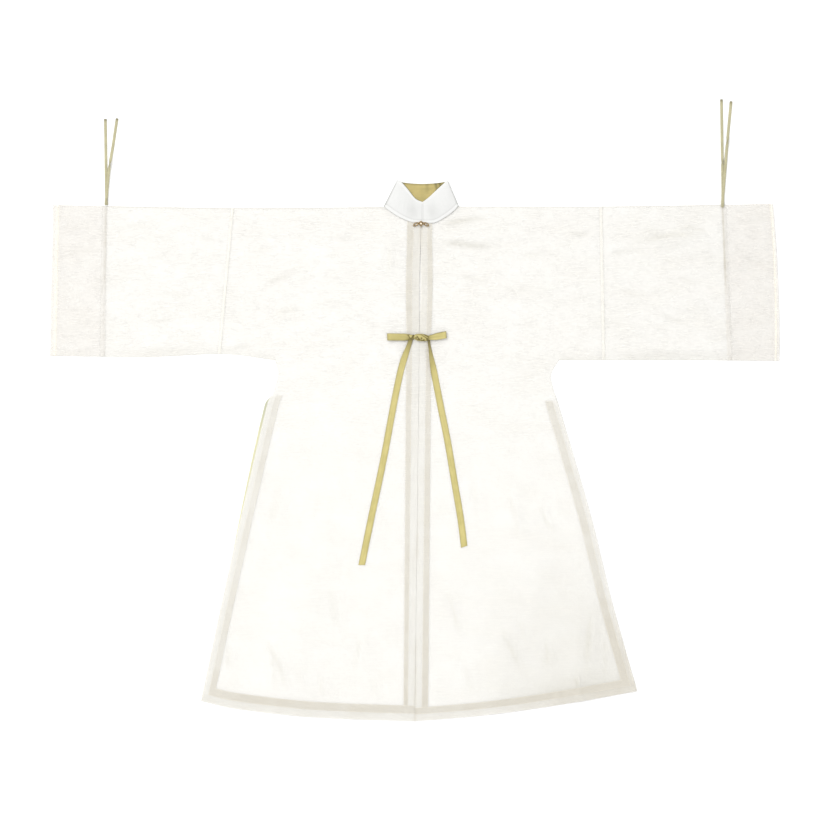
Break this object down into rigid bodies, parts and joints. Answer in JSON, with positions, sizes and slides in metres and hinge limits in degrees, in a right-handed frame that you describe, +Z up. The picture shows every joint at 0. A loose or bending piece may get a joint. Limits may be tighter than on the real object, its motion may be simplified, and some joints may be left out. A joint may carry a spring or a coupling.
{
  "type": "hanfu robe",
  "caption": "Long sheer hanfu robe laid flat: stand collar, centre opening with clasp and ribbon bow, wide sleeves with drawstring casings, slit sides and a faced curved hem.",
  "frame": {"origin": "middle of the robe in plan, at the table, its drawstring ends left out", "axes": "+X along the sleeves towards the right-hand one as seen from above, +Y from the hem to the collar, +Z up from the table"},
  "size_m": [1.7133, 1.4607, 0.0135],
  "materials": {
    "sheer_cloth": "sheer ivory gauze",
    "facing_cloth": "doubled ivory gauze",
    "collar_cloth": "smooth white",
    "olive_satin": "satin",
    "lace_cord": "flat woven lace",
    "clasp_metal": "polished, aged"
  },
  "bodies": {
    "root": {"back_left": "sheer_cloth", "back_sleeve_left": "sheer_cloth", "back_slit_facing_left": "facing_cloth", "back_hem_facing_left": "facing_cloth", "front_left": "sheer_cloth", "front_sleeve_left": "sheer_cloth", "cuff_facing_left": "facing_cloth", "casing_left": "facing_cloth", "placket_left": "facing_cloth", "front_slit_facing_left": "facing_cloth", "front_hem_facing_left": "facing_cloth", "back_right": "sheer_cloth", "back_sleeve_right": "sheer_cloth", "back_slit_facing_right": "facing_cloth", "back_hem_facing_right": "facing_cloth", "front_right": "sheer_cloth", "front_sleeve_right": "sheer_cloth", "cuff_facing_right": "facing_cloth", "casing_right": "facing_cloth", "placket_right": "facing_cloth", "front_slit_facing_right": "facing_cloth", "front_hem_facing_right": "facing_cloth", "slit_binding": "olive_satin", "collar_back": "collar_cloth", "collar_lining": "olive_satin", "collar_left": "collar_cloth", "collar_right": "collar_cloth", "clasp_left": "clasp_metal", "clasp_right": "clasp_metal", "bow_knot": "olive_satin", "bow_loop_left": "olive_satin", "bow_loop_right": "olive_satin", "bow_tail_left": "olive_satin", "bow_tail_right": "olive_satin", "lace_left_under": "lace_cord", "lace_left_over": "lace_cord", "lace_right_under": "lace_cord", "lace_right_over": "lace_cord"}
  },
  "joints": []
}
